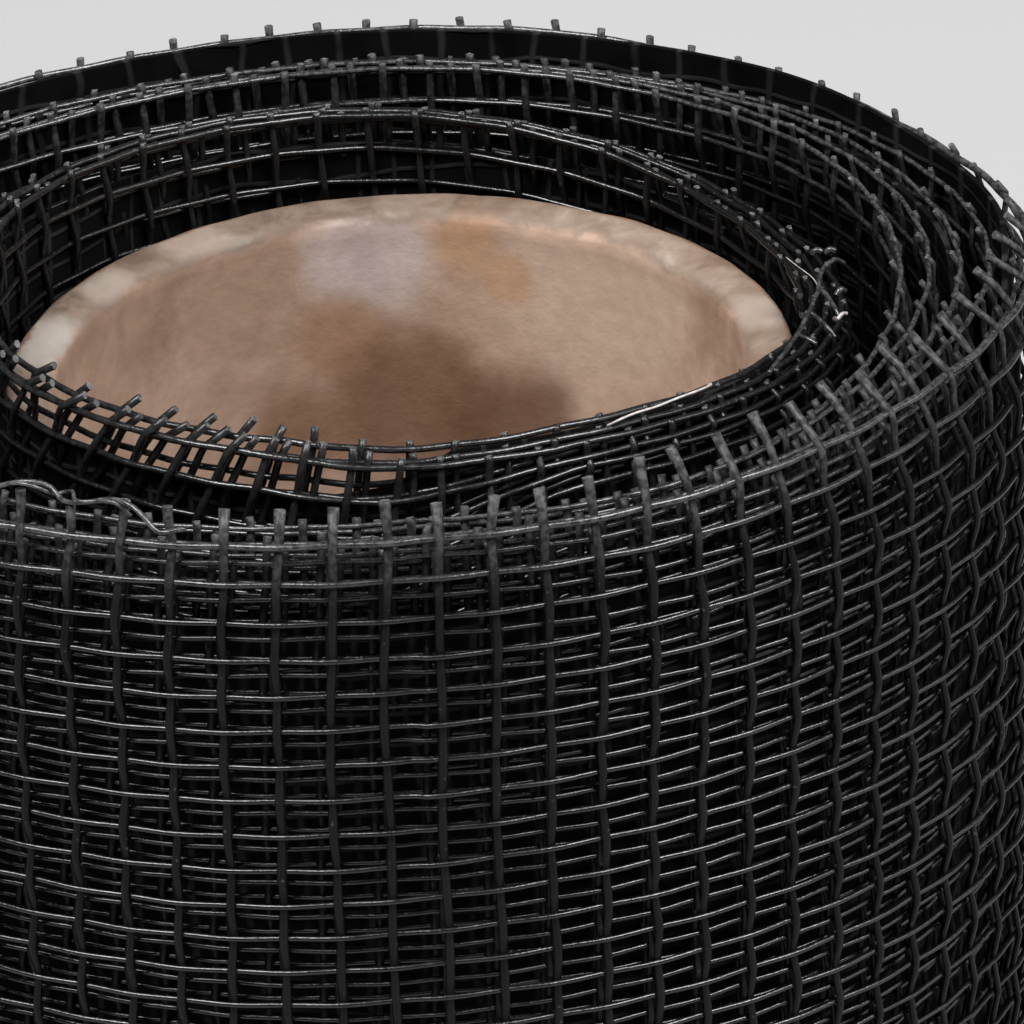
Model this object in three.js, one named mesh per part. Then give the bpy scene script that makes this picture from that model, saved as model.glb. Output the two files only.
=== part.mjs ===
import * as THREE from 'three';

// Roll of black insect screen wound on a cardboard tube, standing on its cut edge.
// Millimetres, +Z up. The origin is under the middle of the roll, on the surface it stands on.
// A bearing is an angle about the tube's axis in degrees: 0 points at the near side (-Y)
// and 90 points right (+X). A winding angle goes on past 360, one full turn for each wrap.

// Strip and wires
const STRIP_WIDTH = 100;
const WIRE_RADIUS = 0.17;

// Cardboard tube, set off the middle of the oval roll and sunk below its rim
const TUBE_X = 1.235;
const TUBE_Y = 0.241;
const TUBE_OUTER_RADIUS = 14;
const TUBE_WALL = 1.75;
const TUBE_SUNK = 4.5;
const TUBE_EDGE_WEAR = 0.3;
const TUBE_SEGMENTS = 72;

// Winding angles: the cut inner end, the stretch where the strip crosses from the tight
// inner pack to the loose outer pack, and the cut outer end
const FULL_TURN = 360;
const INNER_END = 80;
const CROSSING_START = 3 * FULL_TURN + 225;
const CROSSING_END = 3 * FULL_TURN + 300;
const OUTER_END = 9 * FULL_TURN + 255;
const OUTER_END_LIFT = 0.45;
const OUTER_END_RAMP = 45;

// Radius of the first wrap's middle, 0.3 clear of the tube
const TUBE_CLEARANCE = 0.3;
const FIRST_RADIUS = TUBE_OUTER_RADIUS + TUBE_CLEARANCE + WIRE_RADIUS;

// Groove between the two packs: half the thickness kept for a single wrap beside it,
// and the narrowest gap that is left open
const SHEET_HALF = 0.3;
const NARROWEST_GROOVE = 0.3;

// Spacing of the points along a wound edge, in degrees
const POINT_STEP = 3;

// The winding at each bearing: radius of the inner pack's last wrap, radius of the outer pack's
// first and last wraps, how far the inner pack has risen or slid down, and how far the rim leans in
const WINDING = [
  { bearing: 0, packEdge: 15.7, looseEdge: 17.7, outerEdge: 19.68, packRise: 0.9, rimLean: 1.1 },
  { bearing: 30, packEdge: 15.8, looseEdge: 18.4, outerEdge: 20.06, packRise: 0.6, rimLean: 1.0 },
  { bearing: 60, packEdge: 16.1, looseEdge: 18.6, outerEdge: 21.57, packRise: -0.4, rimLean: 1.6 },
  { bearing: 90, packEdge: 16.4, looseEdge: 17.7, outerEdge: 22.27, packRise: -1.5, rimLean: 0.9 },
  { bearing: 120, packEdge: 16.1, looseEdge: 17.4, outerEdge: 20.85, packRise: -1.9, rimLean: 0.2 },
  { bearing: 150, packEdge: 15.8, looseEdge: 17.1, outerEdge: 19.35, packRise: -1.2, rimLean: 0.0 },
  { bearing: 180, packEdge: 15.6, looseEdge: 17.2, outerEdge: 19.20, packRise: -0.4, rimLean: 0.0 },
  { bearing: 210, packEdge: 15.6, looseEdge: 18.0, outerEdge: 20.30, packRise: 0.2, rimLean: 0.0 },
  { bearing: 240, packEdge: 15.7, looseEdge: 19.9, outerEdge: 22.80, packRise: 0.7, rimLean: 0.2 },
  { bearing: 270, packEdge: 15.7, looseEdge: 22.2, outerEdge: 24.74, packRise: 1.1, rimLean: 0.3 },
  { bearing: 300, packEdge: 15.7, looseEdge: 20.6, outerEdge: 23.50, packRise: 1.3, rimLean: 0.5 },
  { bearing: 330, packEdge: 15.7, looseEdge: 18.5, outerEdge: 20.98, packRise: 1.2, rimLean: 0.8 },
];

// Heights at which the roll's outline is repeated, closer together near the leaning rim
const LEVELS = [0, 88, STRIP_WIDTH - 5.3, STRIP_WIDTH - 2.7, STRIP_WIDTH];
const LEAN_START = STRIP_WIDTH - 5.3;
const LEAN_CURL = 1.3;
const RISE_START = STRIP_WIDTH - 12;

const SCREEN_MATERIAL = { color: 0x26262a, roughness: 0.45, metalness: 0 };
const CARDBOARD_MATERIAL = { color: 0xa98a74, roughness: 0.9, metalness: 0 };

// Small helpers
const radians = (degrees) => (degrees * Math.PI) / 180;
const mix = (from, to, share) => from + (to - from) * share;
const clamped = (value) => Math.min(1, Math.max(0, value));
const smooth = (value) => clamped(value) ** 2 * (3 - 2 * clamped(value));

// One column of the winding table at any bearing, as a smooth closed curve through its rows
function windingAt(column, bearing) {
  const rows = WINDING.length;
  const place = (((bearing % FULL_TURN) + FULL_TURN) % FULL_TURN) / (FULL_TURN / rows);
  const row = Math.floor(place);
  const share = place - row;
  const value = (offset) => WINDING[(row + offset + rows) % rows][column];
  const startSlope = (value(1) - value(-1)) / 2;
  const endSlope = (value(2) - value(0)) / 2;
  const rise = value(1) - value(0);
  return (
    value(0) +
    startSlope * share +
    (3 * rise - 2 * startSlope - endSlope) * share ** 2 +
    (startSlope + endSlope - 2 * rise) * share ** 3
  );
}

// Radius of the strip in the tight pack, which grows evenly from the first wrap to the pack's edge
function packRadius(angle) {
  const share = (angle - INNER_END) / (CROSSING_START - INNER_END);
  return mix(FIRST_RADIUS, windingAt('packEdge', angle), share);
}

// Radius of the strip in the loose pack. The last wrap keeps to the outer edge and laps over its own start
function looseRadius(angle) {
  const share = clamped((angle - CROSSING_END) / (OUTER_END - FULL_TURN - CROSSING_END));
  const lift = OUTER_END_LIFT * smooth(1 - (OUTER_END - angle) / OUTER_END_RAMP);
  return mix(windingAt('looseEdge', angle), windingAt('outerEdge', angle), share) + lift;
}

// Radius of the middle of the strip at any winding angle
function turnRadius(angle) {
  if (angle <= CROSSING_START) {
    return packRadius(angle);
  }
  const share = smooth((angle - CROSSING_START) / (CROSSING_END - CROSSING_START));
  return mix(packRadius(CROSSING_START), looseRadius(angle), share);
}

function pointAt(angle, radius) {
  const x = TUBE_X + radius * Math.sin(radians(angle));
  const y = TUBE_Y - radius * Math.cos(radians(angle));
  return new THREE.Vector2(x, y);
}

// Points along one face of the strip, from one winding angle to another
function woundEdge(from, to, offset) {
  const steps = Math.round((to - from) / POINT_STEP);
  const points = [];
  for (let i = 0; i <= steps; i += 1) {
    const angle = mix(from, to, i / steps);
    points.push(pointAt(angle, turnRadius(angle) + offset));
  }
  return points;
}

// Open stretches between neighbouring wraps near the crossing, each as [from, to] winding angles
function grooveStretches() {
  const stretches = [];
  let start = null;
  for (let angle = CROSSING_START - FULL_TURN; angle <= CROSSING_END; angle += POINT_STEP) {
    const gap = turnRadius(angle + FULL_TURN) - turnRadius(angle) - 2 * SHEET_HALF;
    if (gap > NARROWEST_GROOVE && start === null) {
      start = angle;
    }
    if (gap <= NARROWEST_GROOVE && start !== null) {
      stretches.push([start, angle - POINT_STEP]);
      start = null;
    }
  }
  return stretches;
}

// Cross-section of the wound strip: both cut ends make a step, and the grooves stay open
function woundSection() {
  const section = new THREE.Shape(woundEdge(OUTER_END - FULL_TURN, OUTER_END, WIRE_RADIUS));
  section.holes.push(new THREE.Path(woundEdge(INNER_END, INNER_END + FULL_TURN, -WIRE_RADIUS)));
  for (const [from, to] of grooveStretches()) {
    const inside = woundEdge(from, to, SHEET_HALF);
    const outside = woundEdge(from + FULL_TURN, to + FULL_TURN, -SHEET_HALF);
    section.holes.push(new THREE.Path([...inside, ...outside.reverse()]));
  }
  return section;
}

// Moves a point of the straight roll to its real place: the inner pack's rim stands high on the
// near left and low on the far right, and the rim of the outer pack leans in over the gap
function settled(x, y, z) {
  const bearing = (Math.atan2(x - TUBE_X, TUBE_Y - y) * 180) / Math.PI;
  const radius = Math.hypot(x - TUBE_X, y - TUBE_Y);
  const packEdge = windingAt('packEdge', bearing);
  const looseEdge = windingAt('looseEdge', bearing);
  const looseShare = smooth((radius - packEdge - SHEET_HALF) / (looseEdge - packEdge - 2 * SHEET_HALF));
  const rise = windingAt('packRise', bearing) * (1 - looseShare);
  const lean = Math.max(0, windingAt('rimLean', bearing)) * looseShare;
  const bent = radius - lean * clamped((z - LEAN_START) / (STRIP_WIDTH - LEAN_START)) ** LEAN_CURL;
  const flat = pointAt(bearing, bent);
  const height = z + rise * clamped((z - RISE_START) / (STRIP_WIDTH - RISE_START));
  return new THREE.Vector3(flat.x, flat.y, height);
}

function screenRoll() {
  const steps = LEVELS.length - 1;
  const geometry = new THREE.ExtrudeGeometry(woundSection(), { depth: 1, steps, bevelEnabled: false });
  const position = geometry.getAttribute('position');
  for (let i = 0; i < position.count; i += 1) {
    const height = LEVELS[Math.round(position.getZ(i) * steps)];
    const place = settled(position.getX(i), position.getY(i), height);
    position.setXYZ(i, place.x, place.y, place.z);
  }
  geometry.computeVertexNormals();
  const mesh = new THREE.Mesh(geometry, new THREE.MeshStandardMaterial(SCREEN_MATERIAL));
  mesh.name = 'screen_roll';
  return mesh;
}

// Plain wound cardboard tube with worn top and bottom edges
function coreTube() {
  const top = STRIP_WIDTH - TUBE_SUNK;
  const innerRadius = TUBE_OUTER_RADIUS - TUBE_WALL;
  const profile = [
    new THREE.Vector2(innerRadius, 0),
    new THREE.Vector2(TUBE_OUTER_RADIUS, 0),
    new THREE.Vector2(TUBE_OUTER_RADIUS, top - TUBE_EDGE_WEAR),
    new THREE.Vector2(TUBE_OUTER_RADIUS - TUBE_EDGE_WEAR, top),
    new THREE.Vector2(innerRadius + TUBE_EDGE_WEAR, top),
    new THREE.Vector2(innerRadius, top - TUBE_EDGE_WEAR),
    new THREE.Vector2(innerRadius, 0),
  ];
  const geometry = new THREE.LatheGeometry(profile, TUBE_SEGMENTS);
  geometry.rotateX(Math.PI / 2);
  const mesh = new THREE.Mesh(geometry, new THREE.MeshStandardMaterial(CARDBOARD_MATERIAL));
  mesh.name = 'core_tube';
  mesh.position.set(TUBE_X, TUBE_Y, 0);
  return mesh;
}

const roll = new THREE.Group();
roll.add(screenRoll());
roll.add(coreTube());

export default roll;
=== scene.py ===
import math

import bpy
import numpy as np
from mathutils import Matrix, Vector


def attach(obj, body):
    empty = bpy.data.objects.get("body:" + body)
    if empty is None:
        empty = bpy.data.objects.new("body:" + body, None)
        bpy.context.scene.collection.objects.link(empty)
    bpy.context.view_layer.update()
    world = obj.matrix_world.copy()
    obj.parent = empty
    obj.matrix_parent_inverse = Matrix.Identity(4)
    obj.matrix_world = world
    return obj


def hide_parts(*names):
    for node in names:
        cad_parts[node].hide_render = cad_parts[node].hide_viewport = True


# Roll of black insect screen on a cardboard tube, woven wire by wire.
# Lengths below are millimetres and bearings degrees, as in the part's source: bearing 0 is the
# near side (-Y), 90 the right side (+X). They become metres when a mesh is made.

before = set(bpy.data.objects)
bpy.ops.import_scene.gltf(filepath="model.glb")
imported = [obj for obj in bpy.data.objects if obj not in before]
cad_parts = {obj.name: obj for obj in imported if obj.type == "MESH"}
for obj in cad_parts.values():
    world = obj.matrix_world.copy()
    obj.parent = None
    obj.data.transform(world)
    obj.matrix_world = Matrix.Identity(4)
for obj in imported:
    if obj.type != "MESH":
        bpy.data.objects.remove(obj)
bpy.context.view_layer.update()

MM = 0.001
FULL_TURN = 360.0

# The wound strip, repeated from the part's source
STRIP_WIDTH = 100.0
TUBE_X = 1.235
TUBE_Y = 0.241
TUBE_OUTER_RADIUS = 14.0
TUBE_WALL = 1.75
TUBE_SUNK = 4.5
TUBE_TOP = STRIP_WIDTH - TUBE_SUNK
TUBE_INNER_RADIUS = TUBE_OUTER_RADIUS - TUBE_WALL
INNER_END = 80.0
CROSSING_START = 3 * FULL_TURN + 225
CROSSING_END = 3 * FULL_TURN + 300
OUTER_END = 9 * FULL_TURN + 255
OUTER_END_LIFT = 0.45
OUTER_END_RAMP = 45.0
FIRST_RADIUS = 14.47
LEAN_DEPTH = 5.3
LEAN_CURL = 1.3

# The form of the winding, at bearings 0, 30, 60 and so on
PACK_EDGE = np.array([15.7, 15.8, 16.1, 16.4, 16.1, 15.8, 15.6, 15.6, 15.7, 15.7, 15.7, 15.7])
LOOSE_EDGE = np.array([17.7, 18.4, 18.6, 17.7, 17.4, 17.1, 17.2, 18.0, 19.9, 22.2, 20.6, 18.5])
OUTER_EDGE = np.array([
    19.68, 20.06, 21.57, 22.90, 21.00, 19.35, 19.20, 20.30, 22.80, 24.74, 23.50, 20.98,
])
PACK_RISE = np.array([0.9, 0.6, -0.4, -1.5, -1.9, -1.2, -0.4, 0.2, 0.7, 1.1, 1.3, 1.2])
RIM_LEAN = np.array([1.1, 1.0, 1.6, 0.6, 0.1, 0.0, 0.0, 0.0, 0.2, 0.3, 0.5, 0.8])

# The weave: spacing of the wires, their radii and how far they bow over and under each other.
# Running wires go round the roll. Cross wires stand up along it and are pressed flat. Column 0
# stands at COLUMN_ZERO_ANGLE, and the columns lean by SKEW.
COLUMN_PITCH = 1.81
ROW_PITCH = 1.3188
ROWS = 75
RUNNING_RADIUS = 0.100
CROSS_RADIUS = 0.155
CROSS_FLATNESS = 0.70
PACK_RUNNING_RADIUS = 0.106
PACK_CROSS_RADIUS = 0.148
RUNNING_BOW = 0.045
CROSS_BOW = 0.115
COLUMN_ZERO_ANGLE = 9 * FULL_TURN - 2.06
SKEW = -0.0333

# The lowest height of the strip's middle, before it rises or slips
LOWEST_POINT = 0.03

# The ripple of the strip's face: the degrees that stand for one column of it, its share at the
# rim and the depth over which it grows
RIPPLE_COLUMN = 5.5
RIPPLE_AT_RIM = 0.3
RIPPLE_DEPTH = 4.0

# How far each wrap's edge stands above its place in the source, as pairs of winding angle and
# rise, from the strip's inner end outwards. Below the height SLIP_FADE it dies away.
SLIPS = [
    (180, 0.1), (270, 0.0), (300, -0.05), (345, 0.35), (375, 0.05), (430, -0.05), (540, -0.2),
    (630, -0.35), (665, -0.3), (705, 0.0), (740, -0.25), (800, -0.25), (900, 0.0), (990, -0.15),
    (1025, -0.1), (1062, 0.2), (1100, -0.4), (1160, -0.4), (1260, -0.1), (1400, -0.6),
    (1455, -0.6), (1500, -0.1), (1570, 0.15), (1670, 0.35), (1750, -0.15), (1815, -0.15),
    (1860, 0.0), (1930, 0.1), (2030, 0.15), (2110, -0.95), (2180, -0.95), (2225, -0.15),
    (2290, 0.1), (2390, 0.3), (2470, -0.3), (2550, -0.3), (2585, 0.0), (2650, 0.0),
    (2750, -0.1), (2800, -0.8), (2930, -0.8), (2960, -0.35), (3030, 0.1), (3100, 0.3),
    (3165, 0.0), (3325, 0.0), (3400, 1.15), (3495, 1.1),
]
SLIP_ANGLES, SLIP_RISES = zip(*SLIPS)
SLIP_FADE = 60.0

# The second wrap is drawn a little tighter, so that its cross wires stand left of the last
# wrap's: pairs of winding angle and shift in columns
SECOND_WRAP_SHIFTS = [(2600, 0.0), (2830, 0.40), (2940, 0.40), (3180, 0.0)]
SHIFT_ANGLES, SHIFT_COLUMNS = zip(*SECOND_WRAP_SHIFTS)

# How far the inner pack's rim bends in over the mouth of the tube, at bearings 0, 30, 60 and so
# on. It bends less on its inside, and its edge drops a little as it bends.
PACK_LEAN = np.array([0.7, 1.2, 1.3, 0.8, 0.3, 0.0, 0.0, 0.0, 0.0, 0.0, 0.0, 0.25])
PACK_LEAN_DEPTH = 3.6
PACK_LEAN_CURL = 1.4
PACK_LEAN_DROP = 0.3
PACK_THICKNESS = 1.3
PACK_LEAN_INSIDE = 0.6

# The first rows of the inner pack are pushed together on the near right, between two bearings and
# softly beyond them. The shift is full at SQUEEZE_DEPTH and fades to nothing at SQUEEZE_GONE.
SQUEEZE_AMOUNT = 3.1
SQUEEZE_BEARINGS = (24, 74, 34)
SQUEEZE_DEPTH = 6.2
SQUEEZE_FADE = 60.0
SQUEEZE_GONE = 90.0

# The inner pack's mesh is pulled sideways near its rim on the near left
SHEAR_BEARINGS = [0, 5, 20, 270, 290, 310, 330, 345, 360]
SHEAR_AMOUNTS = [0.08, 0, 0, 0, 0.35, 0.62, 0.45, 0.18, 0.08]
SHEAR_DEPTH = 5.5

# On the near side, between these bearings, wires have fine steps down to this row
NEAR_ARC = (-74.0, 86.0)
NEAR_ROWS = 17

rng = np.random.default_rng(41)


# Camera: in front of the roll and above it, looking down on its rim
CAMERA_AT = Vector((1.235, -220.879, 208.72)) * MM
CAMERA_PITCH = math.radians(28.361)
CAMERA_ROLL = math.radians(-2.700)
CAMERA_YAW = math.radians(0.964)
CAMERA_LENS = 246.75
SENSOR_WIDTH = 36.0


def make_camera():
    forward = Vector((
        math.sin(CAMERA_YAW) * math.cos(CAMERA_PITCH),
        math.cos(CAMERA_YAW) * math.cos(CAMERA_PITCH),
        -math.sin(CAMERA_PITCH),
    ))
    level_right = Vector((math.cos(CAMERA_YAW), -math.sin(CAMERA_YAW), 0))
    level_up = level_right.cross(forward)
    right = math.cos(CAMERA_ROLL) * level_right + math.sin(CAMERA_ROLL) * level_up
    up = -math.sin(CAMERA_ROLL) * level_right + math.cos(CAMERA_ROLL) * level_up
    camera = bpy.data.cameras.new("camera")
    camera.sensor_width = SENSOR_WIDTH
    camera.lens = CAMERA_LENS
    camera.clip_start = 0.01
    camera.clip_end = 50
    holder = bpy.data.objects.new("camera", camera)
    bpy.context.scene.collection.objects.link(holder)
    turn = Matrix((right, up, -forward)).transposed()
    holder.matrix_world = Matrix.Translation(CAMERA_AT) @ turn.to_4x4()
    bpy.context.scene.camera = holder


# Form of the winding

def clamped(value):
    return np.clip(value, 0.0, 1.0)


def smooth(value):
    held = clamped(value)
    return held * held * (3 - 2 * held)


def mix(start, end, share):
    return start + (end - start) * share


def window(bearing, low, high, soft):
    """1 between two bearings, which may be below 0, and falling to 0 within soft degrees of them."""
    turned = (bearing - (low + high) / 2 + 180) % FULL_TURN - 180
    return smooth(1 - (np.abs(turned) - (high - low) / 2) / soft)


def winding_at(column, bearing):
    """A column of the winding's form at any bearing, as a smooth closed curve through its rows."""
    count = len(column)
    place = np.mod(bearing, FULL_TURN) / (FULL_TURN / count)
    row = np.floor(place).astype(int)
    share = place - row
    before, here, after, beyond = (column[(row + offset) % count] for offset in (-1, 0, 1, 2))
    start_slope = (after - before) / 2
    end_slope = (beyond - here) / 2
    rise = after - here
    return (
        here
        + start_slope * share
        + (3 * rise - 2 * start_slope - end_slope) * share ** 2
        + (start_slope + end_slope - 2 * rise) * share ** 3
    )


def pack_radius(angle):
    share = (angle - INNER_END) / (CROSSING_START - INNER_END)
    return mix(FIRST_RADIUS, winding_at(PACK_EDGE, angle), share)


def loose_radius(angle):
    share = clamped((angle - CROSSING_END) / (OUTER_END - FULL_TURN - CROSSING_END))
    lift = OUTER_END_LIFT * smooth(1 - (OUTER_END - angle) / OUTER_END_RAMP)
    return mix(winding_at(LOOSE_EDGE, angle), winding_at(OUTER_EDGE, angle), share) + lift


def loose_share(angle):
    return smooth((angle - CROSSING_START) / (CROSSING_END - CROSSING_START))


def turn_radius(angle):
    tight = pack_radius(np.minimum(angle, CROSSING_START))
    crossing = mix(tight, loose_radius(angle), loose_share(angle))
    return np.where(angle <= CROSSING_START, tight, crossing)


def bent_in(table, angle, depth, reach, curl):
    """How far a rim leans in at a depth below it, when it leans over its last reach of height."""
    return np.clip(winding_at(table, angle), 0, None) * clamped((reach - depth) / reach) ** curl


def rim_lean(angle, depth):
    return bent_in(RIM_LEAN, angle, depth, LEAN_DEPTH, LEAN_CURL)


def pack_lean(angle, depth):
    return bent_in(PACK_LEAN, angle, depth, PACK_LEAN_DEPTH, PACK_LEAN_CURL)


def place_at(turn, radius, height):
    """Points at an angle in radians about the tube's axis, a radius and a height."""
    x = TUBE_X + radius * np.sin(turn)
    y = TUBE_Y - radius * np.cos(turn)
    return np.stack((x, y, np.broadcast_to(height, np.shape(turn))), axis=-1)


# Length along the strip at each winding angle, counted in columns of the weave
TABLE_MARGIN = 4
TABLE_POINTS = 13700
TABLE_ANGLES = np.linspace(INNER_END - TABLE_MARGIN, OUTER_END + TABLE_MARGIN, TABLE_POINTS)
TABLE_RADII = turn_radius(TABLE_ANGLES)
table_steps = np.hypot(np.diff(TABLE_RADII), np.radians(np.diff(TABLE_ANGLES)) * TABLE_RADII[1:])
TABLE_LENGTHS = np.concatenate(([0.0], np.cumsum(table_steps)))
zero_length = np.interp(COLUMN_ZERO_ANGLE, TABLE_ANGLES, TABLE_LENGTHS)
TABLE_COLUMNS = (TABLE_LENGTHS - zero_length) / COLUMN_PITCH
TABLE_COLUMNS = TABLE_COLUMNS + np.interp(TABLE_ANGLES, SHIFT_ANGLES, SHIFT_COLUMNS)


def column_of(angle):
    return float(np.interp(angle, TABLE_ANGLES, TABLE_COLUMNS))


def angle_of(column):
    return np.interp(column, TABLE_COLUMNS, TABLE_ANGLES)


def wave_field(count, shortest, longest, size):
    """Sum of a few plain waves over the weave, the same for both sets of wires."""
    lengths = rng.uniform(shortest, longest, count)
    headings = rng.uniform(0, 2 * math.pi, count)
    phases = rng.uniform(0, 2 * math.pi, count)
    sizes = size * rng.uniform(0.5, 1.0, count) / math.sqrt(count)

    def value(u, v):
        total = 0.0
        for length, heading, phase, part in zip(lengths, headings, phases, sizes):
            along = (u * math.cos(heading) + v * math.sin(heading)) / length
            total = total + part * np.sin(2 * math.pi * along + phase)
        return total

    return value


column_drift = wave_field(9, 7.0, 26.0, 0.075)
row_drift = wave_field(9, 6.0, 24.0, 0.070)
face_ripple = wave_field(6, 9.0, 26.0, 0.10)


def line_wave(size, shortest, longest):
    """A wandering line, for what one wire does by itself."""
    lengths = rng.uniform(shortest, longest, 3)
    phases = rng.uniform(0, 2 * math.pi, 3)

    def value(place):
        waves = (np.sin(2 * math.pi * place / l + p) for l, p in zip(lengths, phases))
        return size / 1.7 * sum(waves)

    return value


def weave_point(u, v, out):
    """Place of a point of the strip: u columns along it, v rows below its rim and out from its
    middle by so many millimetres."""
    depth = (v + row_drift(u, v) * clamped(v / 2)) * ROW_PITCH
    along = u + column_drift(u, v) + SKEW * depth / COLUMN_PITCH
    angle = angle_of(along)
    loose = loose_share(angle)
    tight = 1 - loose

    squeeze = SQUEEZE_AMOUNT * window(np.mod(angle, FULL_TURN), *SQUEEZE_BEARINGS) * tight
    squeeze = squeeze * smooth(depth / SQUEEZE_DEPTH)
    depth = depth - squeeze * clamped((SQUEEZE_GONE - depth) / SQUEEZE_FADE)
    height = np.clip(STRIP_WIDTH - depth, LOWEST_POINT, None)

    shear = np.interp(np.mod(angle, FULL_TURN), SHEAR_BEARINGS, SHEAR_AMOUNTS) * tight
    angle = angle_of(along + shear * np.clip(SHEAR_DEPTH - depth, 0, None) / COLUMN_PITCH)

    ripple = face_ripple(np.mod(angle, FULL_TURN) / RIPPLE_COLUMN, v)
    radius = turn_radius(angle) + out + ripple * smooth(depth / RIPPLE_DEPTH + RIPPLE_AT_RIM)
    radius = radius - rim_lean(angle, depth) * loose
    inside = mix(PACK_LEAN_INSIDE, 1.0, clamped((radius - FIRST_RADIUS) / PACK_THICKNESS))
    bend = pack_lean(angle, depth) * tight * inside
    radius = radius - bend

    height = height + winding_at(PACK_RISE, angle) * tight * height / STRIP_WIDTH
    height = height + np.interp(angle, SLIP_ANGLES, SLIP_RISES) * smooth(height / SLIP_FADE)
    height = height - PACK_LEAN_DROP * bend
    return place_at(np.radians(angle), radius, height)


# Wires as joined tubes

class Tubes:
    """Wires collected for one piece: their points, side faces and end faces."""

    def __init__(self):
        self.points = []
        self.walls = []
        self.ends = []
        self.cut = []
        self.count = 0

    def add(self, centres, side, radius, sides, flatness=1.0, cut=(True, True)):
        """One wire. cut says which of its two ends is a real cut, where the pale glass shows."""
        along = np.gradient(centres, axis=0)
        along /= np.linalg.norm(along, axis=1, keepdims=True)
        across = np.cross(along, side)
        across /= np.linalg.norm(across, axis=1, keepdims=True)
        other = np.cross(across, along)
        around = np.arange(sides) * 2 * math.pi / sides
        width = np.broadcast_to(np.asarray(radius, float), (len(centres),))[:, None, None]
        rings = centres[:, None, :] + width * (
            flatness * np.cos(around)[None, :, None] * across[:, None, :]
            + np.sin(around)[None, :, None] * other[:, None, :]
        )
        here = self.count + np.arange(len(centres) * sides).reshape(len(centres), sides)
        beside = np.roll(here, -1, axis=1)
        walls = np.stack((here[:-1], here[1:], beside[1:], beside[:-1]), axis=-1)
        self.points.append(rings.reshape(-1, 3))
        self.walls.append(walls.reshape(-1, 4))
        self.ends.append(here[0])
        self.ends.append(here[-1][::-1])
        self.cut.extend(cut)
        self.count += len(centres) * sides


def mesh_object(name, points, faces, materials, face_materials, smooth_faces):
    """faces is a list of arrays of corner indices, one array for each number of corners."""
    mesh = bpy.data.meshes.new(name)
    mesh.vertices.add(len(points))
    mesh.vertices.foreach_set("co", (np.asarray(points) * MM).astype(np.float32).ravel())
    corners = np.concatenate([np.asarray(f).ravel() for f in faces])
    sizes = np.concatenate([np.full(len(f), np.asarray(f).shape[1]) for f in faces])
    mesh.loops.add(len(corners))
    mesh.loops.foreach_set("vertex_index", corners.astype(np.int32))
    mesh.polygons.add(len(sizes))
    mesh.polygons.foreach_set("loop_start", (np.cumsum(sizes) - sizes).astype(np.int32))
    for material in materials:
        mesh.materials.append(material)
    mesh.polygons.foreach_set("material_index", np.asarray(face_materials, np.int32))
    mesh.polygons.foreach_set("use_smooth", np.asarray(smooth_faces, bool))
    mesh.update(calc_edges=True)
    piece = bpy.data.objects.new(name, mesh)
    bpy.context.scene.collection.objects.link(piece)
    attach(piece, "root")
    return piece


def wire_piece(name, tubes, materials):
    """A piece of wires, with the first material on its coats and the second on its real cuts."""
    by_size = {}
    for end, is_cut in zip(tubes.ends, tubes.cut):
        by_size.setdefault(len(end), []).append((end, is_cut))
    walls = np.concatenate(tubes.walls)
    faces = [walls] + [np.array([end for end, _ in group]) for group in by_size.values()]
    pale = np.array([is_cut for group in by_size.values() for _, is_cut in group], float)
    marks = np.concatenate((np.zeros(len(walls)), pale))
    smooth_faces = np.arange(len(marks)) < len(walls)
    piece = mesh_object(name, np.concatenate(tubes.points), faces, materials, marks, smooth_faces)
    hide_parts("screen_roll")


def stepped(start, end, steps_at):
    """Sample places from start to end, with steps_at(cell) steps in each whole cell between."""
    places = [start]
    for cell in range(math.ceil(start), math.floor(end)):
        steps = steps_at(cell)
        places.extend(cell + i / steps for i in range(steps))
    places.extend([math.floor(end), end])
    return np.array(sorted(set(round(p, 5) for p in places)))


def faces_camera(column):
    turned = (float(angle_of(column)) + 180) % FULL_TURN - 180
    return NEAR_ARC[0] < turned < NEAR_ARC[1]


class Detail:
    """How finely a wrap's wires are made: their sides, and their steps in each cell. The steps are
    fine in the rows down to rim_rows, and on the near side down to NEAR_ROWS. The wires stop at the
    row last."""

    def __init__(self, fine, coarse, rim_rows=5, last=ROWS):
        self.fine_sides, self.fine_steps = fine
        self.coarse_sides, self.coarse_steps = coarse
        self.rim_rows = rim_rows
        self.last = last

    def steps(self, row, near):
        fine = row <= self.rim_rows or (near and row <= NEAR_ROWS)
        return self.fine_steps if fine else self.coarse_steps


UPRIGHT = np.array([0.0, 0.0, 1.0])


def running_centres(u, v, row, radius):
    """Middle line of a wire that goes round the roll, kept clear of the floor."""
    centres = weave_point(u, v, -RUNNING_BOW * np.cos(math.pi * (u + row)))
    centres[:, 2] = np.maximum(centres[:, 2], radius)
    return centres


def along_strip(column, count):
    """The direction of the strip at a column, once for each of count points."""
    turn = np.radians(angle_of(np.full(count, float(column))))
    return np.stack((np.cos(turn), np.sin(turn), np.zeros(count)), axis=-1)


def running_wires(tubes, start, end, detail, radius, rim_swell, frayed):
    """Wires that go round the roll, between two columns of the strip. The first two can be
    thicker, and the ends at the start and the end can be frayed, by up to so many columns."""
    for row in range(1, detail.last + 1):
        wander = row_wander[row]
        begin = start + frayed[0] * row_free[row]
        finish = end - frayed[1] * row_free[row + 1]
        u = stepped(begin, finish, lambda cell: detail.steps(row, faces_camera(cell)))
        centres = running_centres(u, row + wander(u), row, radius)
        side = np.broadcast_to(UPRIGHT, centres.shape)
        swell = 1 + rim_swell * clamped((3 - row) / 2)
        sides = detail.fine_sides if row <= NEAR_ROWS else detail.coarse_sides
        tubes.add(centres, side, radius * swell, sides, cut=(frayed[0] > 0, frayed[1] > 0))


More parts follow.
